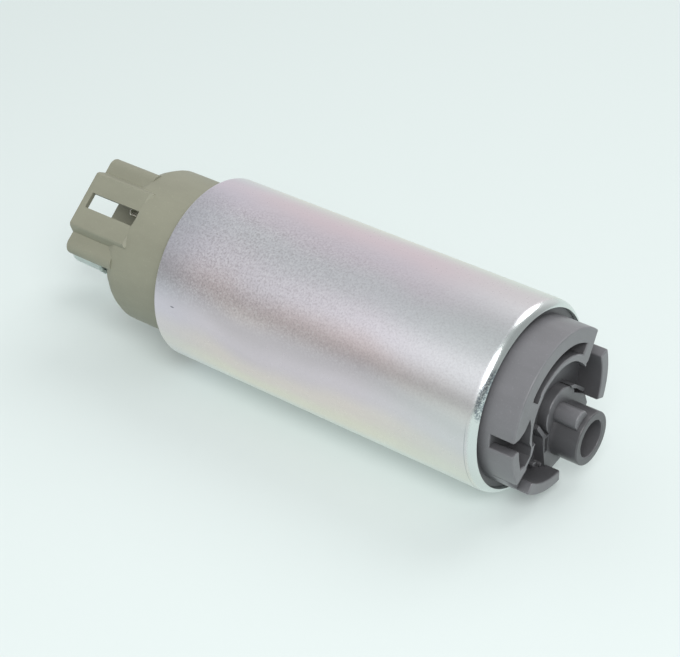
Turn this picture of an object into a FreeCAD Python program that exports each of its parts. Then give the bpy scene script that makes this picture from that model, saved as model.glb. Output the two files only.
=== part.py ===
"""Electric in-tank fuel pump, 38 mm barrel, lying on its side. Millimetres.

+X runs along the pump's axis to the inlet end, +Z is up, and the origin is on the axis at the
middle of the steel barrel. Angles about the axis are measured from +Y towards +Z.
"""
import FreeCAD
import Part
import os
from math import cos, sin, radians
from FreeCAD import Vector

os.makedirs("parts", exist_ok=True)

# Barrel
barrel_radius = 19.0
barrel_length = 75.65
barrel_wall = 1.1
lip_thickness = 0.9
inlet_lip_radius = 17.74
outlet_lip_radius = 16.9
inlet_edge_round = 0.9
outlet_edge_round = 0.5

# Clearances
static_gap = 0.05
running_gap = 0.3
face_gap = 0.1
shaft_clearance = 0.03

# Inlet cover
inlet_flange_thickness = 4.0
inlet_tip_radius = 16.3
inlet_floor_height = 1.67
inlet_face_height = 6.62
crescent_start = 38.0
crescent_end = 210.5
crescent_inner_radius = 9.6
crescent_inner_centre = (-0.45, 0.3)
slot_inner_radius = 11.1
slot_outer_radius = 13.15
slot_start = 55.0
slot_end = 143.0
slot_depth = 3.6
ear_inner_radius = 14.0
ear_spans = ((-20.0, 20.0), (-128.0, -86.0))
low_ear_span = (-149.0, -127.0)
low_ear_height = 4.2
platform_height = 3.77
pad_radius = 4.88
pad_centre = (4.76, -3.84)
nozzle_polar_radius = 10.7
nozzle_angle = -53.0
nozzle_radius = 5.4
nozzle_bore_radius = 3.7
nozzle_reach = 9.64
post_radius = 1.95
post_centre = (3.9, -3.45)
post_reach = 8.67
ridge_half_width = 0.4
knob_radius = 0.6
knob_height = 3.2

# Pump stage
casing_thickness = 8.5
impeller_radius = 14.7
impeller_thickness = 3.5
vane_count = 21
vane_root_radius = 11.6
vane_slot_width = 1.7
channel_inner_radius = 11.2
channel_outer_radius = 14.4
channel_depth = 1.2
channel_sweep = 300.0
thrust_pocket_radius = 2.6

# Rotor
shaft_radius = 2.0
shaft_flat_height = 1.5
core_radius = 12.4
core_length = 26.0
slot_count = 8
core_slot_inner = 5.2
core_slot_outer = 10.8
core_slot_width = 4.0
core_mouth_width = 1.4
coil_end_length = 4.0
coil_end_inner = 3.6
coil_end_outer = 11.2
commutator_radius = 9.5
commutator_thickness = 3.0
segment_gap = 0.5

# Magnets
magnet_inner_radius = 12.9
magnet_length = 34.0
magnet_half_angle = 66.0
magnet_spring_thickness = 0.7

# Bearings
bearing_radius = 4.0
bearing_length = 4.0

# Outlet cover
outlet_cap_radius = 16.3
outlet_cap_end = -54.5
outlet_cap_round = 2.7
cover_plug_length = 12.5

# Connector, drawn with its latch face up and then turned about the axis
connector_turn = 41.1
mouth_x = -64.1
latch_face_height = 15.9
latch_face_half_width = 5.75
latch_face_root_half_width = 6.9
latch_face_end = -48.9
latch_ramp = (0.6, 0.6)
shoulder_height = 13.65
shroud_bottom = 3.75
shroud_half_width = 7.0
flank_reach = 10.9
flank_bottom = 9.6
flank_end = -51.9
flank_round = 2.0
socket_half_width = 5.75
socket_low = 5.0
socket_high = 12.6
socket_key_half_width = 4.5
shroud_wall = 1.25
socket_floor = -47.5
window_half_width = 1.67
window_start = -62.4
window_end = -49.45
mouth_chamfer = (1.1, 0.12)

# Outlet nozzle and its dust cap
outlet_centre = (0.93, -7.81)
outlet_nozzle_radius = 4.0
outlet_bead_radius = 4.3
outlet_nozzle_end = -74.0
outlet_barb_length = 3.0
outlet_tip_radius = 3.3
outlet_bore_radius = 2.7
dust_cap_radius = 4.85
dust_cap_wall = 0.45
dust_cap_end = -76.2
dust_cap_open = -67.6
dust_cap_rim_radius = 5.05
dust_cap_rim_width = 1.2
dust_cap_round = 2.0

# Brushes and terminals
brush_offset = 6.5
brush_width = 5.0
brush_height = 6.0
brush_length = 8.5
brush_pocket_depth = 19.0
brush_spring_radius = 2.1
brush_spring_wire = 0.5
brush_spring_turns = 4
terminal_offset = 2.7
terminal_height = 9.8
terminal_root = -41.0
terminal_width = 2.8
terminal_thickness = 0.8
terminal_tip = -56.4
terminal_corner = 0.9

# Check valve
valve_chamber_radius = 3.4
valve_chamber_end = -56.0
valve_seat_start = -36.0
valve_seat_length = 4.0
valve_seat_bore = 1.9
poppet_radius = 2.8
poppet_thickness = 1.6
poppet_stem_radius = 1.1
poppet_stem_length = 6.0
valve_spring_radius = 2.2
valve_spring_wire = 0.4
valve_spring_turns = 5


# Places worked out from the sizes above
bore_radius = barrel_radius - barrel_wall
fitted_radius = bore_radius - static_gap
barrel_end = barrel_length / 2
inlet_shoulder = barrel_end - lip_thickness
cover_face = inlet_shoulder - inlet_flange_thickness
casing_back = cover_face - casing_thickness
inlet_floor = barrel_end + inlet_floor_height
inlet_face = barrel_end + inlet_face_height
platform_face = barrel_end + platform_height
nozzle_centre = (nozzle_polar_radius * cos(radians(nozzle_angle)),
                 nozzle_polar_radius * sin(radians(nozzle_angle)))
impeller_front = cover_face - face_gap
impeller_back = impeller_front - impeller_thickness
pocket_floor = impeller_back - face_gap
pocket_radius = impeller_radius + running_gap
thrust_face = cover_face + 2.1
shaft_front = thrust_face - face_gap
outlet_shoulder = -barrel_end + lip_thickness
cover_plug_end = outlet_shoulder + cover_plug_length
magnet_outer_radius = bore_radius - static_gap
coil_back = -core_length / 2 - coil_end_length
commutator_face = coil_back - commutator_thickness
brush_face = commutator_face - face_gap
brush_back = brush_face - brush_length
brush_pocket_end = cover_plug_end - brush_pocket_depth
upper_bearing_start = cover_plug_end - 1.5
upper_bearing_end = upper_bearing_start - bearing_length
shaft_back = upper_bearing_end + 0.5
valve_seat_end = valve_seat_start - valve_seat_length


# Small tools for shapes about the axis
def point(x, radius, angle):
    return Vector(x, radius * cos(radians(angle)), radius * sin(radians(angle)))


def rod(radius, start, end, centre=(0.0, 0.0)):
    low, high = min(start, end), max(start, end)
    return Part.makeCylinder(radius, high - low, Vector(low, *centre), Vector(1, 0, 0))


def tube(outer, inner, start, end, centre=(0.0, 0.0)):
    low, high = min(start, end), max(start, end)
    return rod(outer, low, high, centre).cut(rod(inner, low - 1, high + 1, centre))


def arc_edge(x, radius, start, end):
    middle = (start + end) / 2
    return Part.Arc(point(x, radius, start), point(x, radius, middle),
                    point(x, radius, end)).toShape()


def sector(inner, outer, start, end, low, high):
    """A slice of a ring between two angles, extruded along the axis."""
    edges = [arc_edge(low, outer, start, end),
             Part.makeLine(point(low, outer, end), point(low, inner, end)),
             arc_edge(low, inner, end, start),
             Part.makeLine(point(low, inner, start), point(low, outer, start))]
    return Part.Face(Part.Wire(edges)).extrude(Vector(high - low, 0, 0))


def prism(corners, low, high):
    """A polygon of (y, z) corners extruded along the axis."""
    points = [Vector(low, y, z) for y, z in corners]
    return Part.Face(Part.makePolygon(points + points[:1])).extrude(Vector(high - low, 0, 0))


def slab(low, high, y_low, y_high, z_low, z_high):
    return Part.makeBox(high - low, y_high - y_low, z_high - z_low, Vector(low, y_low, z_low))


def turned(profile, centre=(0.0, 0.0)):
    """A round piece turned from (x, radius) corners about the axis, or about one beside it."""
    points = [Vector(x, 0, radius) for x, radius in profile]
    face = Part.Face(Part.makePolygon(points + points[:1]))
    return face.revolve(Vector(0, 0, 0), Vector(1, 0, 0), 360).translated(Vector(0, *centre))


def eased(x, radius, size, side, steps=3):
    """The corners of an outer edge rounded in a few flats, from the wall to the end face.

    side is +1 where the end faces +X and -1 where it faces -X.
    """
    turns = [radians(90.0 * step / steps) for step in range(steps + 1)]
    return [(x - side * size * (1 - sin(t)), radius - size * (1 - cos(t))) for t in turns]


def about_axis(shape, angle):
    return shape.rotated(Vector(0, 0, 0), Vector(1, 0, 0), angle)


def round_edges(shape, radius, wanted):
    edges = [edge for edge in shape.Edges if wanted(edge)]
    return shape.makeFillet(radius, edges)


def coil_spring(radius, wire, turns, start, end, centre):
    """An open coil spring between two places on the axis, of straight lengths, eight to a turn."""
    low, high = min(start, end) + wire, max(start, end) - wire
    steps = 8 * turns
    path = Part.makePolygon([point(low + (high - low) * step / steps, radius, 45.0 * step)
                             for step in range(steps + 1)])
    ahead = path.Vertexes[1].Point.sub(path.Vertexes[0].Point)
    outward = Vector(0, 1, 0)
    beside = ahead.cross(outward).normalize()
    first = path.Vertexes[0].Point
    half = wire / 2
    corners = [first + outward * half * cos(radians(a)) + beside * half * sin(radians(a))
               for a in (45, 135, 225, 315)]
    section = Part.makePolygon(corners + corners[:1])
    coil = Part.Wire(path.Edges).makePipeShell([section], True, False, 1)
    return coil.translated(Vector(0, *centre))


# Barrel: a drawn steel tube with its edges rolled over both covers
def housing_shell():
    inlet_edge = eased(barrel_end, barrel_radius, inlet_edge_round, 1, 2)
    outlet_edge = eased(-barrel_end, barrel_radius, outlet_edge_round, -1, 1)
    return turned(outlet_edge[::-1] + inlet_edge + [
        (barrel_end, inlet_lip_radius),
        (inlet_shoulder, inlet_lip_radius), (inlet_shoulder, bore_radius),
        (outlet_shoulder, bore_radius), (outlet_shoulder, outlet_lip_radius),
        (-barrel_end, outlet_lip_radius)])


# Inlet cover: the dark end that the fuel enters
def inlet_crescent():
    """The tall wall round the top, with its arc slot, its pocket and the notch beside it."""
    body = sector(8.0, inlet_tip_radius, crescent_start, crescent_end, inlet_floor, inlet_face)
    body = body.cut(rod(crescent_inner_radius, inlet_floor - 1, inlet_face + 1,
                        crescent_inner_centre))
    body = body.fuse(sector(8.9, 11.0, 193.0, crescent_end, inlet_floor, inlet_face))
    start_corner = prism([(7.36, 6.48), (8.67, 7.09), (12.2, 14.2), (16.0, 10.0), (9.0, 4.0)],
                         inlet_floor - 0.5, inlet_face + 1)
    end_corner = prism([(-8.95, -2.35), (-9.5, -3.8), (-11.3, -5.8), (-11.3, -8.5), (-6.0, -8.5),
                        (-6.0, -2.35)], inlet_floor, inlet_face + 1)
    slot_floor = inlet_face - slot_depth
    slot = sector(slot_inner_radius, slot_outer_radius, slot_start, slot_end,
                  slot_floor, inlet_face + 1)
    pocket = prism([(-17.5, 2.1), (-14.3, 1.95), (-13.0, 2.5), (-11.1, 4.7), (-10.6, 3.0),
                    (-10.75, -0.9), (-10.0, -2.2), (-10.3, -3.9), (-11.9, -5.2), (-13.2, -5.0),
                    (-13.95, -2.0), (-14.1, -0.7), (-14.6, -0.45), (-17.5, -0.95)],
                   inlet_floor, inlet_face + 1)
    return body.cut(start_corner).cut(end_corner).cut(slot).cut(pocket)


def inlet_ears():
    """The two wall pieces left standing on the far and the lower side."""
    pieces = [sector(ear_inner_radius, inlet_tip_radius, start, end, inlet_floor, inlet_face)
              for start, end in ear_spans]
    low_top = barrel_end + low_ear_height
    start, end = low_ear_span
    pieces.append(sector(ear_inner_radius, inlet_tip_radius, start, end, inlet_floor, low_top))
    return pieces


def nozzle_platform():
    """The raised floor between the two ears, with its round end and the slot beside the nozzle."""
    outline = [(-1.3, -6.5), (-0.8, -9.5), (0.0, -13.5), (1.0, -15.2)]
    outline += [(inlet_tip_radius * cos(radians(a)), inlet_tip_radius * sin(radians(a)))
                for a in (-84.0, -74.0, -64.0, -54.0, -44.0, -34.0, -27.0)]
    outline += [(13.4, -4.85), (12.3, -3.9), (9.2, -2.05), (8.0, -1.22), (4.8, -3.8), (1.0, -6.8)]
    body = prism(outline, inlet_floor, platform_face).common(
        rod(inlet_tip_radius, inlet_floor, platform_face))
    body = body.fuse(rod(pad_radius, inlet_floor, platform_face, pad_centre))
    slot = slab(platform_face - 1.0, platform_face + 1, -0.35, 0.5, -10.4, -7.2)
    return body.cut(slot)


def inlet_ridges():
    """The thin ridge and the fence that meet the platform, and the two knobs by the lower ear."""
    run, fall = 0.587, -0.81
    side_y, side_z = -fall * ridge_half_width, run * ridge_half_width
    ridge = prism([(-3.33 - side_y, -2.88 - side_z), (-3.33 + side_y, -2.88 + side_z),
                   (-0.27 + side_y, -7.1 + side_z), (-0.27 - side_y, -7.1 - side_z)],
                  inlet_floor, platform_face)
    fence = prism([(7.3, 0.6), (8.6, 0.25), (12.5, -2.8), (12.6, -3.3), (11.7, -3.1),
                   (9.4, -1.1), (7.5, -0.05)], inlet_floor, platform_face + 0.3)
    outline = [(knob_radius * cos(radians(a)), knob_radius * sin(radians(a)))
               for a in range(0, 360, 45)]
    knobs = [prism([(y + dy, z + dz) for dy, dz in outline], inlet_floor, barrel_end + knob_height)
             for y, z in ((-2.6, -12.0), (0.0, -13.6))]
    return [ridge, fence] + knobs


def inlet_cover():
    body = rod(fitted_radius, cover_face, inlet_shoulder - static_gap)
    body = body.fuse(rod(inlet_tip_radius, inlet_shoulder - 0.2, inlet_floor))
    nozzle_end = barrel_end + nozzle_reach
    nozzle = rod(nozzle_radius, inlet_floor, nozzle_end, nozzle_centre)
    post = rod(post_radius, inlet_floor, barrel_end + post_reach, post_centre)
    raised = [inlet_crescent(), nozzle_platform(), post, nozzle]
    for piece in raised + inlet_ears() + inlet_ridges():
        body = body.fuse(piece)
    body = body.cut(rod(nozzle_bore_radius, cover_face - 1, nozzle_end + 1, nozzle_centre))
    body = body.cut(rod(thrust_pocket_radius, cover_face - 1, thrust_face))
    channel = sector(channel_inner_radius, channel_outer_radius, nozzle_angle,
                     nozzle_angle + channel_sweep, cover_face - 1, cover_face + channel_depth)
    return body.cut(channel).removeSplitter()


# Pump stage
def pump_casing():
    """The plate behind the impeller, with its pocket, channel, outlet port and bearing seat."""
    front = cover_face - static_gap
    body = rod(fitted_radius, casing_back, front)
    body = body.cut(rod(pocket_radius, pocket_floor, front + 1))
    body = body.cut(rod(bearing_radius, casing_back - 1, front))
    end_angle = nozzle_angle + channel_sweep
    channel = sector(channel_inner_radius, channel_outer_radius, nozzle_angle, end_angle,
                     pocket_floor - channel_depth, pocket_floor + 1)
    middle = (channel_inner_radius + channel_outer_radius) / 2
    port_centre = (middle * cos(radians(end_angle)), middle * sin(radians(end_angle)))
    port = rod((channel_outer_radius - channel_inner_radius) / 2, casing_back - 1,
               pocket_floor + 1, port_centre)
    return body.cut(channel).cut(port)


def shaft_outline(start, end, extra):
    """The shaft's section where the impeller sits on it, with its one flat."""
    radius = shaft_radius + extra
    body = rod(radius, start, end)
    return body.cut(slab(start - 1, end + 1, -radius - 1, radius + 1,
                         shaft_flat_height + extra, radius + 1))


def impeller():
    body = rod(impeller_radius, impeller_back, impeller_front)
    half = vane_slot_width / 2
    slot = slab(impeller_back - 1, impeller_front + 1, vane_root_radius, impeller_radius - 0.8,
                -half, half)
    for turn in range(vane_count):
        body = body.cut(about_axis(slot, turn * 360.0 / vane_count))
    return body.cut(shaft_outline(impeller_back - 1, impeller_front + 1, shaft_clearance))


# Rotor
def core_slot(low, high, shrink):
    """One winding slot of the core, with its narrow mouth, less a gap all round."""
    half = core_slot_width / 2 - shrink
    mouth = core_mouth_width / 2 - shrink
    inner = core_slot_inner + shrink
    outer = core_slot_outer - shrink
    return prism([(inner, -half * 0.45), (outer, -half), (outer, half), (inner, half * 0.45)],
                 low, high).fuse(slab(low, high, outer - 0.1, core_radius + 1, -mouth, mouth))


def armature_core():
    half = core_length / 2
    body = tube(core_radius, shaft_radius, -half, half)
    slot = core_slot(-half - 1, half + 1, 0.0)
    for turn in range(slot_count):
        body = body.cut(about_axis(slot, turn * 360.0 / slot_count))
    return body


def lobe_outline(radius, x):
    """Eight flats with cut corners, one flat over each slot of the core."""
    corners = [point(x, radius, turn * 360.0 / slot_count + offset)
               for turn in range(slot_count) for offset in (-14.0, 14.0)]
    return Part.makePolygon(corners + corners[:1])


def armature_winding():
    """The wire that fills the slots and its eight-lobed, stepped bundle at each end."""
    half = core_length / 2
    filling = prism([(core_slot_inner + 0.1, -0.75), (core_slot_outer - 0.1, -1.85),
                     (core_slot_outer - 0.1, 1.85), (core_slot_inner + 0.1, 0.75)],
                    -half - 0.5, half + 0.5)
    body = filling
    for turn in range(1, slot_count):
        body = body.fuse(about_axis(filling, turn * 360.0 / slot_count))
    for side in (-1, 1):
        low, middle, high = [side * (half + part * coil_end_length) for part in (0.0, 0.55, 1.0)]
        wide = Part.Face(lobe_outline(coil_end_outer, low)).extrude(Vector(middle - low, 0, 0))
        narrow = Part.Face(lobe_outline(coil_end_outer - 1.3, middle)).extrude(
            Vector(high - middle, 0, 0))
        body = body.fuse(wide.fuse(narrow).cut(rod(coil_end_inner, low - side, high + side)))
    return body


def commutator():
    """Carbon segments that the brushes run on, one group of separate solids."""
    ring = tube(commutator_radius, coil_end_inner, commutator_face, coil_back)
    gap = slab(commutator_face - 1, coil_back + 1, 0, commutator_radius + 1,
               -segment_gap / 2, segment_gap / 2)
    for turn in range(slot_count):
        ring = ring.cut(about_axis(gap, (turn + 0.5) * 360.0 / slot_count))
    return Part.makeCompound(ring.Solids)


def rotor_shaft():
    body = rod(shaft_radius, shaft_back, impeller_back - 0.5)
    body = body.fuse(shaft_outline(impeller_back - 0.5, shaft_front, 0.0))
    return body.removeSplitter()


def bearing(start):
    return tube(bearing_radius - static_gap, shaft_radius + shaft_clearance,
                start, start + bearing_length)


# Magnets and the springs that spread them
def magnet(middle):
    half = magnet_length / 2
    return sector(magnet_inner_radius, magnet_outer_radius, middle - magnet_half_angle,
                  middle + magnet_half_angle, -half, half)


def magnet_springs():
    half = magnet_length / 2 - 2
    inner = magnet_outer_radius - magnet_spring_thickness
    reach = 90.0 - magnet_half_angle - 0.5
    clips = []
    for middle in (90.0, 270.0):
        clip = sector(inner, magnet_outer_radius, middle - reach, middle + reach, -half, half)
        for end in (middle - reach, middle + reach - 2.6):
            clip = clip.fuse(sector(inner - 2.2, magnet_outer_radius, end, end + 2.6, -half, half))
        clips.append(clip.removeSplitter())
    return Part.makeCompound(clips)


# Outlet cover: the olive end with the connector, the brushes' guides and the check valve
def upright(shape):
    """Turns what was drawn with the latch face up to its place about the axis."""
    return about_axis(shape, connector_turn)


def connector_block():
    """The latch face on its shoulders, and the two round-edged flanks."""
    slope = latch_face_root_half_width - latch_face_half_width
    face = prism([(-latch_face_root_half_width, 5.0),
                  (-latch_face_root_half_width, shoulder_height),
                  (-latch_face_half_width - 0.35 * slope, latch_face_height - 0.35),
                  (-latch_face_half_width, latch_face_height),
                  (latch_face_half_width, latch_face_height),
                  (latch_face_half_width + 0.35 * slope, latch_face_height - 0.35),
                  (latch_face_root_half_width, shoulder_height),
                  (latch_face_root_half_width, 5.0)], mouth_x, latch_face_end)
    run, drop = mouth_chamfer
    wedge = Part.Face(Part.makePolygon([
        Vector(mouth_x - 1, -20, latch_face_height - drop - drop / run),
        Vector(mouth_x + run, -20, latch_face_height),
        Vector(mouth_x - 1, -20, latch_face_height + 2),
        Vector(mouth_x - 1, -20, latch_face_height - drop - drop / run)]))
    face = face.cut(wedge.extrude(Vector(0, 40, 0)))
    run, drop = latch_ramp
    ramp = Part.Face(Part.makePolygon([
        Vector(latch_face_end - run, -20, latch_face_height),
        Vector(latch_face_end + run, -20, latch_face_height - 2 * drop),
        Vector(latch_face_end + run, -20, latch_face_height + 1),
        Vector(latch_face_end - run, -20, latch_face_height + 1),
        Vector(latch_face_end - run, -20, latch_face_height)]))
    face = face.cut(ramp.extrude(Vector(0, 40, 0)))
    box = slab(mouth_x, outlet_cap_end + 3, -shroud_half_width, shroud_half_width,
               shroud_bottom, shoulder_height - 0.3)
    flank = slab(mouth_x, flank_end, -flank_reach, flank_reach, flank_bottom, shoulder_height)
    flank = round_edges(flank, flank_round, lambda edge: (
        abs(abs(edge.BoundBox.YMin) - flank_reach) < 0.01 and edge.BoundBox.YLength < 0.01
        and edge.BoundBox.XLength > 1))
    return box.fuse(flank).fuse(face)


def connector_socket():
    """The hollow that the plug enters, with its key way under the latch window."""
    main = slab(mouth_x - 1, socket_floor, -socket_half_width, socket_half_width,
                socket_low, socket_high)
    key = slab(mouth_x - 1, socket_floor, -socket_key_half_width, socket_key_half_width,
               socket_high - 1, latch_face_height - shroud_wall)
    window = slab(window_start, window_end, -window_half_width, window_half_width,
                  socket_high - 1, latch_face_height + 1)
    return main.fuse(key).fuse(window)


def terminal_blade(side, gap):
    """One flat blade, with its rounded tip, standing in the socket; gap makes its slot."""
    half = terminal_width / 2 + gap
    middle = side * terminal_offset
    blade = slab(terminal_tip, terminal_root, middle - half, middle + half,
                 terminal_height - terminal_thickness / 2 - gap,
                 terminal_height + terminal_thickness / 2 + gap)
    return round_edges(blade, terminal_corner, lambda edge: (
        abs(edge.BoundBox.XMax - terminal_tip) < 0.01 and edge.BoundBox.ZLength > 0.5))


def terminal(side):
    return upright(terminal_blade(side, 0.0))


def outlet_nozzle():
    """The hose nozzle, with the barb that holds the hose at its tip."""
    end = outlet_nozzle_end
    barb = end + outlet_barb_length
    return turned([(outlet_cap_end + 3, 0.0), (outlet_cap_end + 3, outlet_nozzle_radius),
                   (barb, outlet_nozzle_radius), (barb, outlet_bead_radius),
                   (end, outlet_tip_radius), (end, 0.0)], outlet_centre)


def brush_pocket(side):
    gap = 0.15
    middle = side * brush_offset
    return slab(brush_pocket_end, cover_plug_end + 1, middle - brush_width / 2 - gap,
                middle + brush_width / 2 + gap, -brush_height / 2 - gap, brush_height / 2 + gap)


def outlet_cover():
    body = rod(fitted_radius, outlet_shoulder + static_gap, cover_plug_end)
    cap = turned([(outlet_shoulder + 0.2, 0.0), (outlet_shoulder + 0.2, outlet_cap_radius)]
                 + eased(outlet_cap_end, outlet_cap_radius, outlet_cap_round, -1, 2)
                 + [(outlet_cap_end, 0.0)])
    body = body.fuse(cap).fuse(upright(connector_block())).fuse(outlet_nozzle())
    flat = slab(outlet_cap_end - 1, latch_face_end - latch_ramp[0], -latch_face_half_width,
                latch_face_half_width, latch_face_height, latch_face_height + 1)
    cuts = [upright(flat), upright(connector_socket()), brush_pocket(-1), brush_pocket(1),
            rod(bearing_radius, upper_bearing_end, cover_plug_end + 1),
            rod(valve_chamber_radius, valve_chamber_end, cover_plug_end + 1, outlet_centre),
            rod(outlet_bore_radius, outlet_nozzle_end - 1, valve_chamber_end + 1, outlet_centre)]
    cuts += [upright(terminal_blade(side, static_gap)) for side in (-1, 1)]
    for shape in cuts:
        body = body.cut(shape)
    return body.removeSplitter()


def outlet_dust_cap():
    """The soft see-through cap pushed over the outlet nozzle for transport."""
    inner = dust_cap_radius - dust_cap_wall
    closed = dust_cap_end + 2.0
    rim = dust_cap_open - dust_cap_rim_width
    return turned([(closed, 0.0), (closed, inner), (dust_cap_open, inner),
                   (dust_cap_open, dust_cap_rim_radius), (rim, dust_cap_rim_radius),
                   (rim, dust_cap_radius)]
                  + eased(dust_cap_end, dust_cap_radius, dust_cap_round, -1, 2)
                  + [(dust_cap_end, 0.0)], outlet_centre)


# Brushes
def brush(side):
    middle = side * brush_offset
    return slab(brush_back, brush_face, middle - brush_width / 2, middle + brush_width / 2,
                -brush_height / 2, brush_height / 2)


def brush_spring(side):
    return coil_spring(brush_spring_radius, brush_spring_wire, brush_spring_turns,
                       brush_back - face_gap, brush_pocket_end + face_gap,
                       (side * brush_offset, 0.0))


# Check valve
def valve_seat():
    return tube(valve_chamber_radius - static_gap, valve_seat_bore, valve_seat_end,
                valve_seat_start, outlet_centre)


def check_valve():
    """The disc that closes on the seat, with the stem that its spring goes round."""
    face = valve_seat_end - face_gap
    back = face - poppet_thickness
    tip = back - poppet_stem_length
    return turned([(face, 0.0), (face, poppet_radius)]
                  + [(back, poppet_radius), (back, poppet_stem_radius),
                     (tip, poppet_stem_radius), (tip, 0.0)],
                  outlet_centre)


def check_valve_spring():
    return coil_spring(valve_spring_radius, valve_spring_wire, valve_spring_turns,
                       valve_seat_end - 2 * face_gap - poppet_thickness,
                       valve_chamber_end + face_gap, outlet_centre)


pieces = {
    "housing_shell": housing_shell,
    "inlet_cover": inlet_cover,
    "pump_casing": pump_casing,
    "impeller": impeller,
    "lower_bearing": lambda: bearing(casing_back),
    "rotor_shaft": rotor_shaft,
    "armature_core": armature_core,
    "armature_winding": armature_winding,
    "commutator": commutator,
    "upper_bearing": lambda: bearing(upper_bearing_end),
    "magnet_a": lambda: magnet(0.0),
    "magnet_b": lambda: magnet(180.0),
    "magnet_springs": magnet_springs,
    "outlet_cover": outlet_cover,
    "outlet_dust_cap": outlet_dust_cap,
    "terminal_positive": lambda: terminal(1),
    "terminal_negative": lambda: terminal(-1),
    "brush_a": lambda: brush(1),
    "brush_b": lambda: brush(-1),
    "brush_spring_a": lambda: brush_spring(1),
    "brush_spring_b": lambda: brush_spring(-1),
    "valve_seat": valve_seat,
    "check_valve": check_valve,
    "check_valve_spring": check_valve_spring,
}

for name, make in pieces.items():
    shape = make()
    shape.exportStep("parts/" + name + ".step")
    box = shape.BoundBox
    print(name, "solids", len(shape.Solids), "valid", shape.isValid(), "volume",
          round(shape.Volume, 1), "x", round(box.XMin, 2), round(box.XMax, 2))
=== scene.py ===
"""Looks of an electric fuel pump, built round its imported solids, in metres.

The frame's +X runs along the pump to its inlet end and +Z is up. The finishes follow the object's
own coordinates, so they stay in place when a piece moves.
"""

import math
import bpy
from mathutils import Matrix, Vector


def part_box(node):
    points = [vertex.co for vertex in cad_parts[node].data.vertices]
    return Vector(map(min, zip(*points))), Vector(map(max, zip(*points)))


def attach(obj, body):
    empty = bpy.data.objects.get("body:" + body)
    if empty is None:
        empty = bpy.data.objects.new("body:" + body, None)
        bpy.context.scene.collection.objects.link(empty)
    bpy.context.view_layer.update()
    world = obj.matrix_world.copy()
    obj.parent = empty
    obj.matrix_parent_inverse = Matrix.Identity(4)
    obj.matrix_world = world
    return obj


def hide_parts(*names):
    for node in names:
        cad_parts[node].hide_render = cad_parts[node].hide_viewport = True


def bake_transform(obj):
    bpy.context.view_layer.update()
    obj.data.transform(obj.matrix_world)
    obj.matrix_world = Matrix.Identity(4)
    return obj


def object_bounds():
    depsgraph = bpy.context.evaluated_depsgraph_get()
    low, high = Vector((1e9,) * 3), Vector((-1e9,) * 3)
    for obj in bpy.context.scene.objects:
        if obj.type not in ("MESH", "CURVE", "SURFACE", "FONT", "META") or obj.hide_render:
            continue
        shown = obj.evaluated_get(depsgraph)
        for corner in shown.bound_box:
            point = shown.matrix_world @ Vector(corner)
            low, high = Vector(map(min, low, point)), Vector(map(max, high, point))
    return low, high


bl_info = {
    "name": "Fuel pump looks",
    "version": (1, 0, 0),
    "blender": (4, 5, 0),
    "location": "3D View > Sidebar > Fuel pump",
    "description": "Finishes, barrel, moulded details and stage of a fuel pump round its packed solids",
    "category": "Object",
}

import bmesh
import bpy
from bpy.props import FloatProperty, FloatVectorProperty, IntProperty, PointerProperty
from mathutils import Vector
from mathutils.bvhtree import BVHTree

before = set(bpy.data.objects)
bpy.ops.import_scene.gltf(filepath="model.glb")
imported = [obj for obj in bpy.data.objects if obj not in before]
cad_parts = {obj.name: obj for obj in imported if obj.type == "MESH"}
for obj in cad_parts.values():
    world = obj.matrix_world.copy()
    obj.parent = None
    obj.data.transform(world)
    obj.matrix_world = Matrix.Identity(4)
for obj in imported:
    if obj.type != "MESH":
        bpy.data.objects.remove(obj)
cad_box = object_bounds()
MM = 0.001
PUMP = "pump_body"

# The inlet nozzle, whose outside takes painted shade: its middle in y and z, its bore, its radius and its
# root in x, in millimetres
NOZZLE = (6.44, -8.55, 3.7, 5.4, 41.6)

# Marks on the barrel, in millimetres: the worn rim and the small nick in x and z, the fine line in x
WORN_RIM = (37.6, 9.0)
NICK = (-32.94, 1.9)
FINE_LINE = 35.95

# Tints of the plating round the barrel, partly its own pastel colour and partly painted reflection:
# darker near 0.72, where the dim horizon is mirrored, and lighter from 0.79 to 0.88, where the pale floor
# is mirrored. 0 and 1 are underneath, 0.25 behind, 0.5 on top, 0.75 in front
PLATING_AND_REFLECTION_BANDS = (
    (0.00, (222, 229, 225)), (0.10, (230, 225, 219)), (0.20, (225, 217, 225)),
    (0.30, (227, 224, 219)), (0.40, (233, 231, 219)), (0.47, (231, 216, 222)),
    (0.53, (225, 218, 226)), (0.58, (222, 224, 228)), (0.64, (228, 224, 230)),
    (0.69, (227, 213, 212)), (0.72, (208, 198, 203)), (0.75, (223, 212, 219)),
    (0.79, (236, 224, 219)), (0.83, (238, 232, 216)), (0.88, (232, 238, 230)),
    (1.00, (222, 229, 225)))

# Each coil spring: its node, the body that pushes it, its middle in y and z, its radius and its
# wire's thickness in millimetres, and its turns
SPRINGS = (("brush_spring_a", "brush_a_body", (6.49, 0.0), 2.1, 0.5, 4),
           ("brush_spring_b", "brush_b_body", (-6.49, 0.0), 2.1, 0.5, 4),
           ("check_valve_spring", "check_valve_body", (0.93, -7.81), 2.2, 0.4, 5))
WIRE_SIDES = 12
STEPS_PER_TURN = 32

# Moulded edges: one that turns by fewer degrees than LEAST_TURN stays as it is, and one below
# WIDE_TURN lies on a curve and takes the wide rounding, in millimetres
LEAST_TURN = 38
WIDE_TURN = 50
WIDE_ROUNDING = 0.9
# The share of the next face that a rounding may take, and the least rounding made, in millimetres
FACE_SHARE = 0.42
LEAST_ROUNDING = 0.06
# How far from a fault in the rounding the edges are left sharp, try after try, in millimetres
REACHES = (0.4, 0.6, 0.8, 1.0, 1.2)

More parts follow.
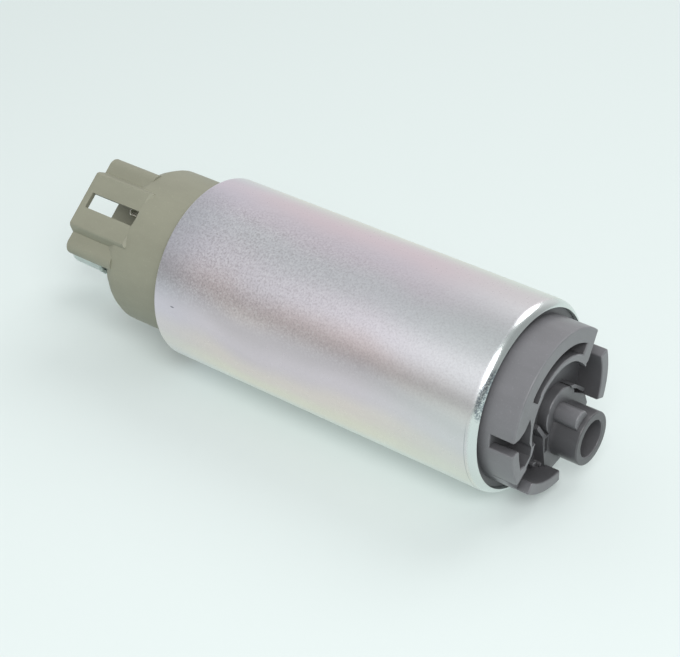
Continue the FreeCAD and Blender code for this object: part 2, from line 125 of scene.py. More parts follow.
# The camera was fitted to the barrel's two rims: its place in metres and the way it looks
CAMERA_PLACE = (0.17865, -0.24038, 0.19654)
CAMERA_WAY = (-0.50984, 0.66295, -0.54823)
# Each lamp's place and width, in metres
KEY_LAMP = ((0.40, -0.42, 0.56), 0.50)
BACK_LAMP = ((0.10, 0.52, 0.66), 0.60)


# Shader tools
class Value:
    """One output of a node, so that shader maths can be written with operators."""

    def __init__(self, drawing, socket):
        self.drawing = drawing
        self.socket = socket

    def __add__(self, other):
        return self.drawing.maths("ADD", self, other)

    __radd__ = __add__

    def __sub__(self, other):
        return self.drawing.maths("SUBTRACT", self, other)

    def __rsub__(self, other):
        return self.drawing.maths("SUBTRACT", other, self)

    def __mul__(self, other):
        return self.drawing.maths("MULTIPLY", self, other)

    __rmul__ = __mul__

    def __truediv__(self, other):
        return self.drawing.maths("DIVIDE", self, other)

    def __rtruediv__(self, other):
        return self.drawing.maths("DIVIDE", other, self)

    def __pow__(self, other):
        return self.drawing.maths("POWER", self, other)

    def __rpow__(self, other):
        return self.drawing.maths("POWER", other, self)

    def band(self, low, high):
        """0 at low and beyond, 1 at high and beyond, smooth between; low may be the larger."""
        return self.drawing.node("ShaderNodeMapRange", {"interpolation_type": "SMOOTHSTEP"},
                                 {"Value": self, "From Min": low, "From Max": high})


class Drawing:
    """A node tree being drawn."""

    def __init__(self, tree):
        self.tree = tree

    def node(self, kind, settings=None, sockets=None, output=0):
        """Adds a node: first its settings, then the values or links of its sockets."""
        made = self.tree.nodes.new(kind)
        for name, value in (settings or {}).items():
            if name == "stops":
                ramp = made.color_ramp
                ramp.interpolation = "EASE"
                while len(ramp.elements) > 1:
                    ramp.elements.remove(ramp.elements[-1])
                ramp.elements[0].position = value[0][0]
                ramp.elements[0].color = (*value[0][1], 1.0)
                for position, colour in value[1:]:
                    ramp.elements.new(position).color = (*colour, 1.0)
            else:
                setattr(made, name, value)
        for key, value in (sockets or {}).items():
            self.feed(made.inputs[key], value)
        return Value(self, made.outputs[output])

    def feed(self, socket, value):
        """Links a value to a socket, or sets the socket to a number, a colour or a vector."""
        if isinstance(value, Value):
            self.tree.links.new(value.socket, socket)
        elif isinstance(value, tuple) and len(value) == 3 and socket.type == "RGBA":
            socket.default_value = (*value, 1.0)
        else:
            socket.default_value = value

    def maths(self, operation, *values):
        """A Math node on numbers and values."""
        return self.node("ShaderNodeMath", {"operation": operation}, dict(enumerate(values)))

    def mix(self, share, first, second):
        """Mixes a share of the second colour into the first."""
        return self.node("ShaderNodeMix", {"data_type": "RGBA"}, {0: share, 6: first, 7: second},
                         output=2)

    def ramp(self, value, stops):
        """A colour by a value of 0 to 1, through stops of place and colour."""
        return self.node("ShaderNodeValToRGB", {"stops": stops}, {0: value})

    def part(self, vector, axis):
        """A vector's part along the axis X, Y or Z."""
        return self.node("ShaderNodeSeparateXYZ", sockets={0: vector}, output=axis)


class Sheet(Drawing):
    """A material being drawn: one surface, and the nodes that feed it."""

    def __init__(self, name):
        self.material = bpy.data.materials.new(name)
        self.material.use_nodes = True
        super().__init__(self.material.node_tree)
        self.tree.nodes.clear()
        self.surface = self.tree.nodes.new("ShaderNodeBsdfPrincipled")
        self.end = self.tree.nodes.new("ShaderNodeOutputMaterial")
        self.tree.links.new(self.surface.outputs["BSDF"], self.end.inputs["Surface"])
        self.place = self.node("ShaderNodeTexCoord", output="Object")

    def set(self, **sockets):
        """Feeds the surface's own sockets; a name's underscores stand for spaces."""
        for name, value in sockets.items():
            self.feed(self.surface.inputs[name.replace("_", " ")], value)

    def axis(self, letter):
        """The object's own X, Y or Z, in millimetres."""
        return self.part(self.place, letter) / MM

    def noise(self, size, detail=2.0, roughness=0.5, stretch=(1.0, 1.0, 1.0), shift=0.0):
        """Noise whose lumps are about size millimetres across; stretch lengthens them along an axis.

        Its octaves grow by an odd factor, so that they never line up in fine holes.
        """
        scale = tuple(1.0 / (size * MM * part) for part in stretch)
        placed = self.node("ShaderNodeMapping", sockets={
            "Vector": self.place, "Scale": scale, "Location": (shift, shift, shift)})
        return self.node("ShaderNodeTexNoise", sockets={
            "Vector": placed, "Scale": 1.0, "Detail": detail, "Roughness": roughness,
            "Lacunarity": 2.37})

    def relief(self, height, depth):
        """A normal from a height field of this depth in millimetres."""
        self.set(Normal=self.node("ShaderNodeBump", sockets={
            "Height": height, "Strength": 1.0, "Distance": depth * MM}))


def linear(red, green, blue):
    """Turns screen values of 0 to 255 into the linear colour that a shader reads."""
    parts = (value / 255 for value in (red, green, blue))
    return tuple(part / 12.92 if part < 0.04045 else ((part + 0.055) / 1.055) ** 2.4
                 for part in parts)


def darker(colour, share):
    """This share of a colour."""
    return tuple(part * share for part in colour)


# Finishes
def blot(across, up, middle, spread):
    """1 in the middle of an oval mark and 0 at its edge; spread is its half widths, squared."""
    off_across = across - middle[0]
    off_up = up - middle[1]
    return 1.0 - (off_across * off_across / spread[0] + off_up * off_up / spread[1])


def plated_steel(name, settings):
    """Zinc plating over drawn steel: fine mottled grain, pastel bands round the tube with painted
    reflection, painted shade towards the outlet end, a worn rim.
    """
    sheet = Sheet(name)
    x, y, z = map(sheet.axis, "XYZ")
    front = y * -1.0
    drift = (sheet.noise(26.0, detail=1.0, shift=3.0) - 0.5) * 0.07
    around = sheet.maths("ARCTAN2", front, z) / (2 * math.pi) + 0.5 + drift
    # The bands hold painted reflection as well as the plating's own tints
    tints = sheet.ramp(around, [(place, linear(*colour)) for place, colour in PLATING_AND_REFLECTION_BANDS])

    cloud = sheet.noise(9.0, detail=3.0, roughness=0.6, stretch=(2.2, 1.0, 1.0))
    grain = sheet.noise(settings.grain_size, detail=3.0, roughness=0.65)
    speckle = sheet.noise(settings.grain_size * 0.95, detail=3.0, roughness=0.75, shift=7.0)
    rough = (x.band(32.0, -30.0) * 0.7 + 0.3) * front.band(-2.0, 6.0) * z.band(2.5, 8.0)
    rim = x.band(36.2, 36.9)
    worn = blot(x, z, WORN_RIM, (1.1, 22.0)).band(0.0, 0.5) * front.band(8.0, 12.0)
    worn = worn * speckle.band(0.40, 0.52)
    nick = blot(x, z, NICK, (0.30, 0.03)).band(0.0, 0.6) * front.band(10.0, 12.0)
    off_line = x - FINE_LINE
    line = (1.0 - off_line * off_line / 0.012).band(0.0, 0.8) * z.band(6.0, 1.0)
    line = line * front.band(0.0, 6.0)

    inlet_end = x.band(8.0, 36.0)
    outlet_end = x.band(-20.0, -38.0)
    # Painted shade: the upper front of the barrel darkens towards the outlet end, where less light is
    # mirrored
    outlet_shade = x.band(-27.0, -37.5)
    for share, colour in (
            (inlet_end * 0.45, (222, 232, 228)),
            (outlet_end * 0.35, (215, 215, 231)),
            (cloud * 0.16, (176, 172, 178)),
            (speckle.band(0.52, 0.34) * (rough * 0.48 + 0.04), (166, 160, 160)),
            (speckle.band(0.50, 0.68) * (rough * 0.50 + 0.04), (250, 250, 250)),
            (outlet_shade * rough * 0.40, (176, 180, 184)),
            (rim * 0.75, (222, 230, 228)),
            (worn * 0.75, (112, 122, 132)),
            (nick * 0.8, (110, 108, 118)),
            (line * 0.45, (140, 146, 150))):
        tints = sheet.mix(share, tints, linear(*colour))
    roughness = settings.steel_roughness + (grain - 0.5) * 0.16 + rough * 0.05 - rim * 0.10
    sheet.set(Base_Color=tints, Metallic=1.0, Roughness=roughness)
    sheet.relief(grain + rough * speckle * 0.8 - nick * 1.5, settings.grain_depth)
    return sheet.material


def painted_recess_shade(sheet, colour, tint, share):
    """Paints shade into the recesses of a piece, darkening them by up to this share."""
    reach = 9.0 * MM
    openness = sheet.node("ShaderNodeAmbientOcclusion", {"only_local": True, "samples": 8},
                          {"Distance": reach}, output="AO")
    return sheet.mix((1.0 - openness).band(0.0, 0.60) * share, tint, darker(colour, 0.35))


def painted_tube_shade(sheet, colour, tint, tube):
    """Paints shade on the outside of a tube along X: its middle, bore, radius and root."""
    middle_y, middle_z, bore, radius, root = tube
    x, y, z = map(sheet.axis, "XYZ")
    across = y - middle_y
    up = z - middle_z
    away = (across * across + up * up) ** 0.5
    tube_shade = away.band(bore, bore + 0.2) * (radius + 0.2 - away).band(0.0, 0.15)
    return sheet.mix(tube_shade * x.band(root, root + 1.0) * 0.75, tint, darker(colour, 0.30))


def moulded(name, colour, settings, shade, roughness, fibre=0.35, recess_shade=0.0, tube=None):
    """Glass-filled moulded plastic: fine pits, pale fibres, faint flow to this shade, painted shade in
    recesses and on a tube.
    """
    sheet = Sheet(name)
    flow = sheet.noise(7.0, detail=3.0, roughness=0.6, stretch=(2.5, 1.0, 1.0))
    pits = sheet.noise(settings.pit_size, roughness=0.6)
    specks = sheet.noise(0.35, detail=1.0, shift=5.0)
    tint = sheet.mix(flow.band(0.3, 0.75), colour, darker(colour, shade))
    pale = tuple(min(1.0, part * 1.5 + 0.01) for part in colour)
    tint = sheet.mix(specks.band(0.60, 0.78) * fibre, tint, pale)
    # Painted shade: the more closed in a place is, the darker its colour
    if recess_shade:
        tint = painted_recess_shade(sheet, colour, tint, recess_shade)
    # Painted shade on the outside of the nozzle
    if tube:
        tint = painted_tube_shade(sheet, colour, tint, tube)
    sheet.set(Base_Color=tint, Roughness=roughness + (pits - 0.5) * 0.18, Specular_IOR_Level=0.45)
    sheet.relief(pits * 0.7 + flow * 0.8, settings.pit_depth)
    return sheet.material


def clear_plastic(name, colour):
    """The soft see-through cap: milky, with faint flow lines."""
    sheet = Sheet(name)
    flow = sheet.noise(3.0, stretch=(1.0, 3.0, 3.0))
    sheet.set(Base_Color=colour, Roughness=flow * 0.10 + 0.30, Transmission_Weight=0.35, IOR=1.42)
    sheet.relief(flow, 0.008)
    return sheet.material


def bare_metal(name, colour, roughness, size, depth, stretch=(1.0, 1.0, 1.0), dark=0.6):
    """Turned, drawn, stacked or sintered metal, by its grain's size and stretch."""
    sheet = Sheet(name)
    grain = sheet.noise(size, detail=3.0, roughness=0.6, stretch=stretch)
    tint = sheet.mix(grain.band(0.35, 0.75) * 0.5, colour, darker(colour, dark))
    sheet.set(Base_Color=tint, Metallic=1.0, Roughness=roughness + (grain - 0.5) * 0.2)
    sheet.relief(grain, depth)
    return sheet.material


def dull_solid(name, colour, roughness, size, depth):
    """Pressed carbon or ferrite: fine grain and faint polish."""
    sheet = Sheet(name)
    grain = sheet.noise(size, detail=3.0, roughness=0.65)
    tint = sheet.mix(grain.band(0.3, 0.7) * 0.6, colour, darker(colour, 0.6))
    sheet.set(Base_Color=tint, Roughness=roughness + (grain - 0.5) * 0.25)
    sheet.relief(grain, depth)
    return sheet.material


def enamelled_wire(name, settings):
    """Turns of copper wire: ridges along the slots, painted shade in the grooves between them, and fine
    enamel gloss.
    """
    sheet = Sheet(name)
    y, z = map(sheet.axis, "YZ")
    phase = (y * y + z * z) ** 0.5 * (2 * math.pi / settings.wire_size)
    ridges = sheet.maths("SINE", phase)
    # Painted shade: the copper is darker in the grooves between ridges and lighter on their tops
    groove_shaded_copper = sheet.mix(ridges * 0.5 + 0.5, linear(96, 44, 26), linear(196, 104, 58))
    sheet.set(Base_Color=groove_shaded_copper, Metallic=0.8, Roughness=0.32, Coat_Weight=0.4)
    sheet.relief(ridges, 0.08)
    return sheet.material


def dress(material, *nodes):
    """Gives CAD nodes their material."""
    for node in nodes:
        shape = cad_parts[node]
        shape.data.materials.clear()
        shape.data.materials.append(material)


# Modelling tools
def begin():
    """Deselects everything, so that an operator acts on the new piece alone."""
    if bpy.context.object and bpy.context.object.mode == "EDIT":
        bpy.ops.object.mode_set(mode="OBJECT")
    bpy.ops.object.select_all(action="DESELECT")


def finish_piece(piece, material, body, smooth, outward=False):
    """Closes editing, shades edges below smooth degrees, and gives a finish and a body, if any.

    The finish has its slot's name. Faces that already point outward are left as they are.
    """
    bpy.ops.mesh.select_all(action="SELECT")
    bpy.ops.mesh.remove_doubles(threshold=0.002 * MM)
    if not outward:
        bpy.ops.mesh.normals_make_consistent(inside=False)
    bpy.ops.object.mode_set(mode="OBJECT")
    bpy.ops.object.shade_smooth_by_angle(angle=math.radians(smooth))
    piece.data.materials.clear()
    piece.data.materials.append(material)
    if body:
        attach(piece, body)


def corner_arc(middle_x, middle_radius, along, across, first, last, steps):
    """Places on an elliptic arc, by its angles in degrees from the radial direction towards +X."""
    angles = [math.radians(first + (last - first) * step / steps) for step in range(steps + 1)]
    return [(middle_x + along * math.sin(angle), middle_radius + across * math.cos(angle))
            for angle in angles]


def turned(name, outline, sides, centre=(0.0, 0.0), closed=True):
    """Turns an outline of (x, radius) places in millimetres about a line along X.

    A closed outline is a ring; an open one starts and ends in a flat face across the line. The new
    piece is left in edit mode.
    """
    begin()
    x, radius = outline[0]
    line_y, line_z = (part * MM for part in centre)
    bpy.ops.mesh.primitive_circle_add(
        vertices=sides, radius=radius * MM, fill_type="NOTHING",
        location=(x * MM, line_y, line_z), rotation=(0, math.radians(90), 0))
    piece = bpy.context.object
    piece.name = name
    piece.data.name = name
    bpy.ops.object.transform_apply(location=True, rotation=True, scale=True)
    bpy.ops.object.mode_set(mode="EDIT")
    bpy.ops.mesh.select_all(action="SELECT")
    for next_x, next_radius in outline[1:] + (outline[:1] if closed else []):
        growth = next_radius / radius
        bpy.ops.mesh.extrude_region_move(
            TRANSFORM_OT_translate={"value": ((next_x - x) * MM, 0, 0)})
        bpy.ops.transform.resize(value=(1, growth, growth),
                                 center_override=(next_x * MM, line_y, line_z))
        x, radius = next_x, next_radius
    if not closed:
        bpy.ops.mesh.select_all(action="SELECT")
        bpy.ops.mesh.fill_holes(sides=0)
    return piece


def rounding_of(edge, settings):
    """How far, in millimetres, this edge may be rounded without meeting the next one."""
    if not edge.is_manifold or not edge.is_convex:
        return 0.0
    angle = math.degrees(edge.calc_face_angle())
    if angle < LEAST_TURN:
        return 0.0
    room = WIDE_ROUNDING if angle < WIDE_TURN else settings.edge_round
    along = (edge.verts[1].co - edge.verts[0].co).normalized()
    for loop in edge.link_loops:
        for near in (loop.link_loop_prev.edge, loop.link_loop_next.edge):
            other = near.verts[1].co - near.verts[0].co
            height = along.cross(other).length
            crosses = height > 0.4 * other.length
            if crosses:
                room = min(room, FACE_SHARE * height / MM)
    return room if room > LEAST_ROUNDING else 0.0


def strays(piece, skin):
    """Places where the rounded piece leaves its first skin or is turned inside out."""
    off_skin = 0.13 * MM
    near_skin = 0.1 * MM
    small_face = 1.5 * MM ** 2
    least_part = 0.0005 * MM ** 2
    shaped = piece.evaluated_get(bpy.context.evaluated_depsgraph_get()).data
    found = []
    for vertex in shaped.vertices:
        distance = skin.find_nearest(vertex.co)[3]
        if distance > off_skin:
            found.append(vertex.co.copy())
    for face in shaped.polygons:
        _, facing, _, distance = skin.find_nearest(face.center)
        turned_in = facing.dot(face.normal) < -0.2
        if face.area < small_face and distance < near_skin and turned_in:
            found.append(face.center.copy())
    shaped.calc_loop_triangles()
    for part in shaped.loop_triangles:
        twisted = part.normal.dot(shaped.polygons[part.polygon_index].normal) < 0.7
        if part.area > least_part and twisted:
            found += [shaped.vertices[index].co.copy() for index in part.vertices]
    return found


def ease_off(piece, spots, reach):
    """Leaves the edges near these places sharp."""
    weights = piece.data.attributes["bevel_weight_edge"].data
    for edge in piece.data.edges:
        first, last = (piece.data.vertices[index].co for index in edge.vertices)
        along = last - first
        for spot in spots:
            share = max(0.0, min(1.0, (spot - first).dot(along) / along.length_squared))
            if (first.lerp(last, share) - spot).length < reach:
                weights[edge.index].value = 0.0
    piece.data.update()


def moulding(node, material, body):
    """Copies a CAD node as one skin, rounds its edges as a mould leaves them, and replaces it."""
    begin()
    settings = bpy.context.scene.pump_moulding
    piece = bpy.data.objects.new(node + "_rounded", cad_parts[node].data.copy())
    piece.data.name = piece.name
    bpy.context.collection.objects.link(piece)
    bpy.context.view_layer.objects.active = piece
    piece.select_set(True)
    bpy.ops.mesh.customdata_custom_splitnormals_clear()
    bpy.ops.object.mode_set(mode="EDIT")
    bpy.ops.mesh.select_mode(type="EDGE")
    bpy.ops.mesh.select_all(action="SELECT")
    bpy.ops.mesh.mark_sharp(clear=True)
    bpy.ops.mesh.remove_doubles(threshold=0.001 * MM)
    bpy.ops.mesh.dissolve_limited(angle_limit=math.radians(0.8))
    mesh = bmesh.from_edit_mesh(piece.data)
    weights = mesh.edges.layers.float.new("bevel_weight_edge")
    for edge in mesh.edges:
        edge[weights] = rounding_of(edge, settings)
    bmesh.update_edit_mesh(piece.data)
    bpy.ops.object.mode_set(mode="OBJECT")

    # An edge's weight is its rounding in millimetres
    bevel = piece.modifiers.new("rounding", "BEVEL")
    bevel.width = MM
    bevel.segments = settings.edge_steps
    bevel.limit_method = "WEIGHT"
    bevel.use_clamp_overlap = False
    skin = BVHTree.FromPolygons([vertex.co for vertex in piece.data.vertices],
                                [face.vertices for face in piece.data.polygons])
    for reach in REACHES:
        spots = strays(piece, skin)
        if not spots:
            break
        ease_off(piece, spots, reach * MM)
    bpy.ops.object.modifier_apply(modifier=bevel.name)

    bpy.ops.object.mode_set(mode="EDIT")
    finish_piece(piece, material, body, smooth=36.0, outward=True)
    level = piece.modifiers.new("level", "WEIGHTED_NORMAL")
    level.keep_sharp = True
    bpy.ops.object.modifier_apply(modifier=level.name)
    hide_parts(node)


def coil_spring(node, pusher, centre, radius, thickness, turns, material):
    """Winds a round wire into an open coil."""
    begin()
    low, high = (corner.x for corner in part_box(node))
    wire = thickness * MM
    bpy.ops.mesh.primitive_circle_add(
        vertices=WIRE_SIDES, radius=wire / 2, fill_type="NGON",
        location=(low + wire / 2, centre[0] * MM, centre[1] * MM), rotation=(0, 0, 0))
    piece = bpy.context.object
    piece.name = node + "_wire"
    piece.data.name = piece.name
    bpy.ops.object.mode_set(mode="EDIT")
    bpy.ops.mesh.select_all(action="SELECT")
    bpy.ops.transform.translate(value=(0, radius * MM, 0))
    bpy.ops.object.mode_set(mode="OBJECT")
    winding = piece.modifiers.new("winding", "SCREW")
    winding.axis = "X"
    winding.iterations = turns
    winding.screw_offset = (high - low - wire) / turns
    winding.steps = STEPS_PER_TURN
    winding.render_steps = STEPS_PER_TURN
    bpy.ops.object.modifier_apply(modifier=winding.name)
    bpy.ops.object.transform_apply(location=True, rotation=True, scale=True)
    bpy.ops.object.mode_set(mode="EDIT")
    finish_piece(piece, material, None, smooth=60.0)
    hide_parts(node)
    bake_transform(piece)


# Settings shown in the panel
class FinishSettings(bpy.types.PropertyGroup):
    """Colours and grain of the pump's finishes."""

    grain_size: FloatProperty(name="Steel grain", description="Width of the plating's grain in mm",
                              default=0.42, min=0.05)
    grain_depth: FloatProperty(name="Grain depth", description="Depth of the plating's grain in mm",
                               default=0.003, min=0.0)
    steel_roughness: FloatProperty(name="Steel roughness", description="Roughness of the plating",
                                   default=0.30, min=0.0, max=1.0, subtype="FACTOR")
    olive: FloatVectorProperty(name="Olive plastic", description="Colour of the outlet cover",
                               default=linear(142, 142, 125), subtype="COLOR", min=0.0, max=1.0)
    dark: FloatVectorProperty(name="Dark plastic", description="Colour of the inlet cover",
                              default=linear(118, 118, 121), subtype="COLOR", min=0.0, max=1.0)
    cap: FloatVectorProperty(name="Dust cap", description="Colour of the see-through cap",
                             default=linear(222, 234, 230), subtype="COLOR", min=0.0, max=1.0)
    pit_size: FloatProperty(name="Moulded grain", description="Width of the plastic's grain in mm",
                            default=0.30, min=0.05)
    pit_depth: FloatProperty(name="Moulded depth", description="Depth of the plastic's grain in mm",
                             default=0.020, min=0.0)
    wire_size: FloatProperty(name="Wire", description="Width of the armature's wire in mm",
                             default=0.45, min=0.1)


class BarrelSettings(bpy.types.PropertyGroup):
    """Sizes of the barrel's rolled edges, in millimetres."""

    sides: IntProperty(name="Sides", description="Flats round the barrel", default=192, min=32)
    lip: FloatProperty(name="Lip", description="Thickness of the rolled lip in mm", default=0.9)
    opening: FloatProperty(name="Opening", description="Radius of the inlet opening in mm",
                           default=17.74)
    back_opening: FloatProperty(name="Outlet opening", description="Radius of the outlet opening in mm",
                                default=16.9)
    bore: FloatProperty(name="Bore", description="Radius of the bore in mm", default=17.9)
    roll: FloatProperty(name="Roll", description="Length of the rolled inlet edge in mm", default=1.85)
    roll_turn: FloatProperty(name="Roll turn", description="How far the inlet edge is rolled over",
                             default=math.radians(62), subtype="ANGLE")
    back_roll: FloatProperty(name="Outlet roll", description="Rounding of the outlet edge in mm",
                             default=0.45)


class MouldingSettings(bpy.types.PropertyGroup):
    """Edges of the moulded pieces and sizes of the dust cap."""

    edge_round: FloatProperty(name="Edge rounding", description="Rounding of moulded edges in mm",
                              default=0.30, min=0.0)
    edge_steps: IntProperty(name="Rounding steps", description="Steps in each rounded edge", default=3)
    cap_wall: FloatProperty(name="Cap wall", description="Wall of the dust cap in mm", default=0.45)
    cap_floor: FloatProperty(name="Cap floor", description="Closed end of the dust cap in mm",
                             default=2.0)
    cap_bead: FloatProperty(name="Cap bead", description="Length of the dust cap's bead in mm",
                            default=1.2)


class StageSettings(bpy.types.PropertyGroup):
    """Camera, floor and lamps."""

    lens: FloatProperty(name="Lens", description="Focal length in mm", default=98.26)
    floor: FloatVectorProperty(name="Floor", description="Colour of the floor",
                               default=linear(230, 240, 238), subtype="COLOR", min=0.0, max=1.0)
    key_power: FloatProperty(name="Key light", description="Power of the key light in watts",
                             default=4.8, min=0.0)
    back_power: FloatProperty(name="Back light", description="Power of the light behind in watts",
                              default=2.2, min=0.0)


# Pieces
class PUMP_OT_barrel(bpy.types.Operator):
    """Turn the plated steel barrel with its rolled edges"""

    bl_idname = "pump.barrel"
    bl_label = "Barrel"

    def execute(self, context):
        sizes = context.scene.pump_barrel
        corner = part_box("housing_shell")[1] / MM
        radius, end = corner.z, corner.x
        depth = (radius - sizes.opening) / (1 - math.cos(sizes.roll_turn))
        length = sizes.roll / math.sin(sizes.roll_turn)
        inlet = corner_arc(end - sizes.roll, radius - depth, length, depth,
                           0.0, math.degrees(sizes.roll_turn), steps=12)
        back = corner_arc(sizes.back_roll - end, radius - sizes.back_roll,
                          sizes.back_roll, sizes.back_roll, -90.0, 0.0, steps=5)
        # The lip's inner corner is broken a little, along the axis and across it
        break_along = 0.05
        break_across = 0.03
        inner = end - sizes.lip
        outline = [(-end, sizes.back_opening), *back, *inlet,
                   (end - break_along, sizes.opening - break_across),
                   (inner, sizes.opening - break_across),
                   (inner, sizes.bore), (-inner, sizes.bore), (-inner, sizes.back_opening)]
        piece = turned("barrel_tube", outline, sizes.sides)
        steel = plated_steel("plated_steel", context.scene.pump_finish)
        finish_piece(piece, steel, PUMP, smooth=28.0)
        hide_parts("housing_shell")
        return {"FINISHED"}


class PUMP_OT_covers(bpy.types.Operator):
    """Round the edges of both moulded covers and give them their plastic"""

    bl_idname = "pump.covers"
    bl_label = "Covers"

    def execute(self, context):
        settings = context.scene.pump_finish
        olive = moulded("olive_polymer", tuple(settings.olive), settings, shade=0.90, roughness=0.55,
                        fibre=0.15)
        moulding("outlet_cover", olive, PUMP)
        # The dark plastic takes painted shade in its recesses and on the outside of the inlet nozzle
        dark = moulded("dark_polymer", tuple(settings.dark), settings, shade=0.86, roughness=0.34,
                       fibre=0.25, recess_shade=0.90, tube=NOZZLE)
        moulding("inlet_cover", dark, PUMP)
        return {"FINISHED"}


class PUMP_OT_dust_cap(bpy.types.Operator):
    """Turn the soft see-through cap on the outlet"""

    bl_idname = "pump.dust_cap"
    bl_label = "Dust cap"

    def execute(self, context):
        sizes = context.scene.pump_moulding
        low, high = (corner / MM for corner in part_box("outlet_dust_cap"))
        centre = ((low.y + high.y) / 2, (low.z + high.z) / 2)
        # The closed end's flat middle, how far in its face ends, and the small edges
        flat = 1.5
        inset = 0.7
        shoulder = 0.6
        rise = 0.2
        mouth_edge = 0.15
        floor_corner = 0.5
        bead = (high.z - low.z) / 2
        radius = bead - rise
        bore = radius - sizes.cap_wall
        bead_x = high.x - sizes.cap_bead
        floor_x = low.x + sizes.cap_floor
        outline = [(low.x, flat), (low.x, radius - inset),
                   *corner_arc(low.x + shoulder, radius - shoulder, shoulder, shoulder,
                               -90.0, 0.0, steps=5),
                   (bead_x, radius),
                   *corner_arc(bead_x + rise, radius, rise, bead - radius, -90.0, 0.0, steps=3)[1:],
                   *corner_arc(high.x - rise, bead - rise, rise, rise, 0.0, 90.0, steps=3),
                   (high.x, bore + mouth_edge), (high.x - mouth_edge, bore),
                   *corner_arc(floor_x + floor_corner, bore - floor_corner,
                               floor_corner, floor_corner, 0.0, -90.0, steps=4),
                   (floor_x, flat)]
        piece = turned("outlet_dust_cap_skin", outline, sides=72, centre=centre, closed=False)
        milky = clear_plastic("clear_cap", tuple(context.scene.pump_finish.cap))
        finish_piece(piece, milky, "dust_cap_body", smooth=40.0)
        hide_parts("outlet_dust_cap")
        return {"FINISHED"}


class PUMP_OT_inner(bpy.types.Operator):
    """Give the pieces inside the barrel their metals, plastics and carbon"""

    bl_idname = "pump.inner"
    bl_label = "Inner pieces"

    def execute(self, context):
        settings = context.scene.pump_finish
        dress(moulded("pump_polymer", linear(46, 46, 49), settings, shade=0.8, roughness=0.45),
              "pump_casing", "impeller")
        dress(moulded("pale_polymer", linear(226, 224, 214), settings, shade=0.93, roughness=0.4,
                      fibre=0.1), "check_valve")

        # Each metal, carbon or ferrite has its roughness and its grain's width and depth in millimetres
        lengthwise = (0.3, 3.0, 3.0)
        dress(bare_metal("ground_steel", linear(190, 191, 194), 0.22, 0.4, 0.01, lengthwise),
              "rotor_shaft")
        dress(bare_metal("brass_fitting", linear(205, 170, 104), 0.3, 0.3, 0.01, lengthwise),
              "valve_seat")
        dress(bare_metal("lamination_steel", linear(132, 133, 138), 0.4, 0.5, 0.05,
                         stretch=(1.0, 12.0, 12.0)), "armature_core")
        dress(bare_metal("sintered_bronze", linear(150, 112, 74), 0.5, 0.35, 0.04),
              "lower_bearing", "upper_bearing")
        dress(dull_solid("carbon", linear(58, 58, 61), 0.38, 0.3, 0.02),
              "commutator", "brush_a", "brush_b")
        dress(dull_solid("ferrite", linear(76, 76, 79), 0.55, 0.5, 0.04), "magnet_a", "magnet_b")

        moulding("armature_winding", enamelled_wire("enamelled_copper", settings), "rotor")
        wire = bare_metal("spring_steel", linear(172, 173, 177), 0.3, 0.3, 0.01,
                          stretch=(4.0, 1.0, 1.0))
        dress(wire, "magnet_springs")
        for spring in SPRINGS:
            coil_spring(*spring, wire)
        tin = bare_metal("tinned_brass", linear(230, 226, 214), 0.25, 0.6, 0.01,
                         stretch=(5.0, 1.0, 1.0), dark=0.8)
        for node in ("terminal_positive", "terminal_negative"):
            moulding(node, tin, PUMP)
        return {"FINISHED"}


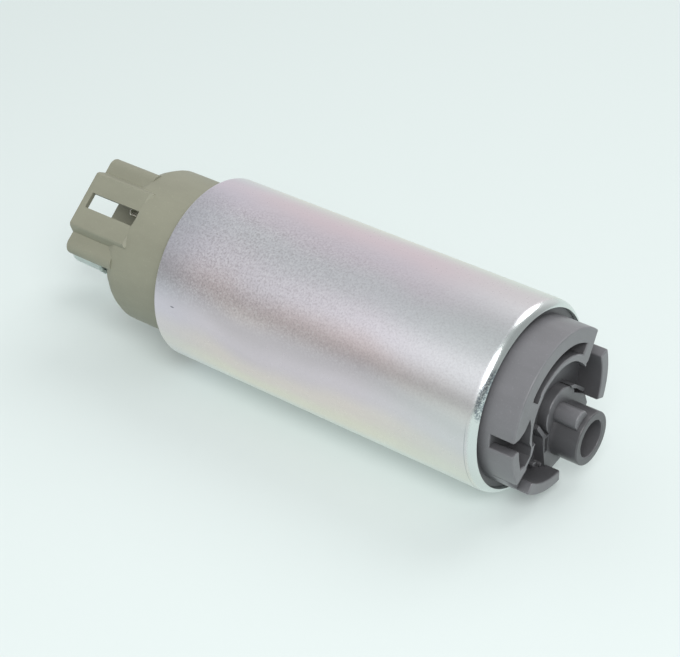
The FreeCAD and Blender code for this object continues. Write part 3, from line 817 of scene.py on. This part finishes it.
class PUMP_OT_stage(bpy.types.Operator):
    """Set the floor, the soft light and the camera"""

    bl_idname = "pump.stage"
    bl_label = "Stage"

    def execute(self, context):
        settings = context.scene.pump_stage
        self.camera(settings.lens)
        self.floor(tuple(settings.floor))
        self.world()
        self.lamp("key_light", *KEY_LAMP, settings.key_power)
        self.lamp("back_light", *BACK_LAMP, settings.back_power)
        return {"FINISHED"}

    def camera(self, lens):
        """The camera of the photograph."""
        begin()
        bpy.ops.object.camera_add(location=CAMERA_PLACE)
        camera = bpy.context.object
        camera.name = "photo_camera"
        camera.data.lens = lens
        camera.data.sensor_width = 36.0
        camera.data.clip_start = 0.01
        camera.data.clip_end = 20.0
        camera.rotation_euler = Vector(CAMERA_WAY).to_track_quat("-Z", "Y").to_euler()
        bpy.context.scene.camera = camera

    def floor(self, colour):
        """A matt floor that takes the shadow, with some of its own light for the eye and for mirrors."""
        begin()
        bpy.ops.mesh.primitive_plane_add(size=8.0, location=(0, 0, cad_box[0].z))
        plane = bpy.context.object
        plane.name = "studio_floor"
        sheet = Sheet("studio_floor")
        sheet.set(Base_Color=darker(colour, 0.87), Roughness=0.9, Specular_IOR_Level=0.1)
        glow = sheet.node("ShaderNodeEmission", sockets={"Color": colour, "Strength": 1.0})
        camera, glossy, through = (
            sheet.node("ShaderNodeLightPath", output=name)
            for name in ("Is Camera Ray", "Is Glossy Ray", "Is Transmission Ray"))
        share = camera * 0.20 + glossy * 0.65 + through * 0.20
        surface = Value(sheet, sheet.surface.outputs["BSDF"])
        both = sheet.node("ShaderNodeMixShader", sockets={0: share, 1: surface, 2: glow})
        sheet.feed(sheet.end.inputs["Surface"], both)
        plane.data.materials.append(sheet.material)

    def world(self):
        """Soft grey all round: dim in front, where only mirrors see a bright patch, paler behind."""
        world = bpy.data.worlds.new("studio")
        bpy.context.scene.world = world
        world.use_nodes = True
        drawing = Drawing(world.node_tree)
        way = drawing.node("ShaderNodeTexCoord", output="Generated")
        x, y, z = (drawing.part(way, axis) for axis in "XYZ")
        dim = drawing.ramp(z, [
            (0.00, (0.44, 0.45, 0.46)), (0.12, (0.46, 0.47, 0.48)), (0.40, (0.62, 0.63, 0.64)),
            (0.65, (0.68, 0.69, 0.70)), (0.85, (0.64, 0.65, 0.66)), (1.00, (0.60, 0.61, 0.62))])
        bright = drawing.ramp(z, [
            (0.00, (0.44, 0.45, 0.46)), (0.12, (0.46, 0.47, 0.48)), (0.36, (1.10, 1.10, 1.12)),
            (0.62, (1.30, 1.30, 1.33)), (0.84, (0.84, 0.85, 0.86)), (1.00, (0.62, 0.63, 0.64))])
        behind = drawing.ramp(z, [
            (0.00, (0.92, 0.93, 0.93)), (0.40, (0.88, 0.88, 0.89)), (0.75, (0.80, 0.80, 0.81)),
            (1.00, (0.62, 0.63, 0.64))])
        mirrored = drawing.node("ShaderNodeLightPath", output="Is Glossy Ray")
        front = drawing.mix(x.band(-0.68, -0.48) * mirrored, dim, bright)
        colour = drawing.mix(y.band(-0.35, 0.25), front, behind)
        inlet_side = x.band(0.05, 0.75)
        colour = drawing.mix(inlet_side * 0.75, colour, (0.33, 0.35, 0.35))
        background = next(node for node in world.node_tree.nodes if node.type == "BACKGROUND")
        drawing.feed(background.inputs["Color"], colour)
        drawing.feed(background.inputs["Strength"], 0.85)

    def lamp(self, name, place, width, power):
        """A round soft lamp that faces the pump."""
        begin()
        bpy.ops.object.light_add(type="AREA", location=place)
        lamp = bpy.context.object
        lamp.name = name
        lamp.data.shape = "DISK"
        lamp.data.size = width
        lamp.data.energy = power
        lamp.rotation_euler = (-Vector(place)).to_track_quat("-Z", "Y").to_euler()


class PUMP_PT_panel(bpy.types.Panel):
    """Lists the pump's pieces, finishes and stage"""

    bl_label = "Fuel pump"
    bl_idname = "PUMP_PT_panel"
    bl_space_type = "VIEW_3D"
    bl_region_type = "UI"
    bl_category = "Fuel pump"

    def draw(self, context):
        layout = self.layout
        for group in SETTINGS:
            box = layout.box()
            settings = getattr(context.scene, group)
            for name in settings.bl_rna.properties.keys():
                if name not in ("rna_type", "name"):
                    box.prop(settings, name)
        for operator in OPERATORS:
            layout.operator(operator.bl_idname)


SETTINGS = {"pump_finish": FinishSettings, "pump_barrel": BarrelSettings,
            "pump_moulding": MouldingSettings, "pump_stage": StageSettings}
OPERATORS = (PUMP_OT_barrel, PUMP_OT_covers, PUMP_OT_dust_cap, PUMP_OT_inner, PUMP_OT_stage)
CLASSES = (*SETTINGS.values(), *OPERATORS, PUMP_PT_panel)


def register():
    for group in CLASSES:
        bpy.utils.register_class(group)
    for name, group in SETTINGS.items():
        setattr(bpy.types.Scene, name, PointerProperty(type=group))


def unregister():
    for name in SETTINGS:
        delattr(bpy.types.Scene, name)
    for group in reversed(CLASSES):
        bpy.utils.unregister_class(group)


def main():
    """Builds every piece and the stage."""
    register()
    bpy.context.scene.view_settings.view_transform = "Standard"
    bpy.ops.pump.barrel()
    bpy.ops.pump.covers()
    bpy.ops.pump.dust_cap()
    bpy.ops.pump.inner()
    bpy.ops.pump.stage()


if __name__ == "__main__":
    main()
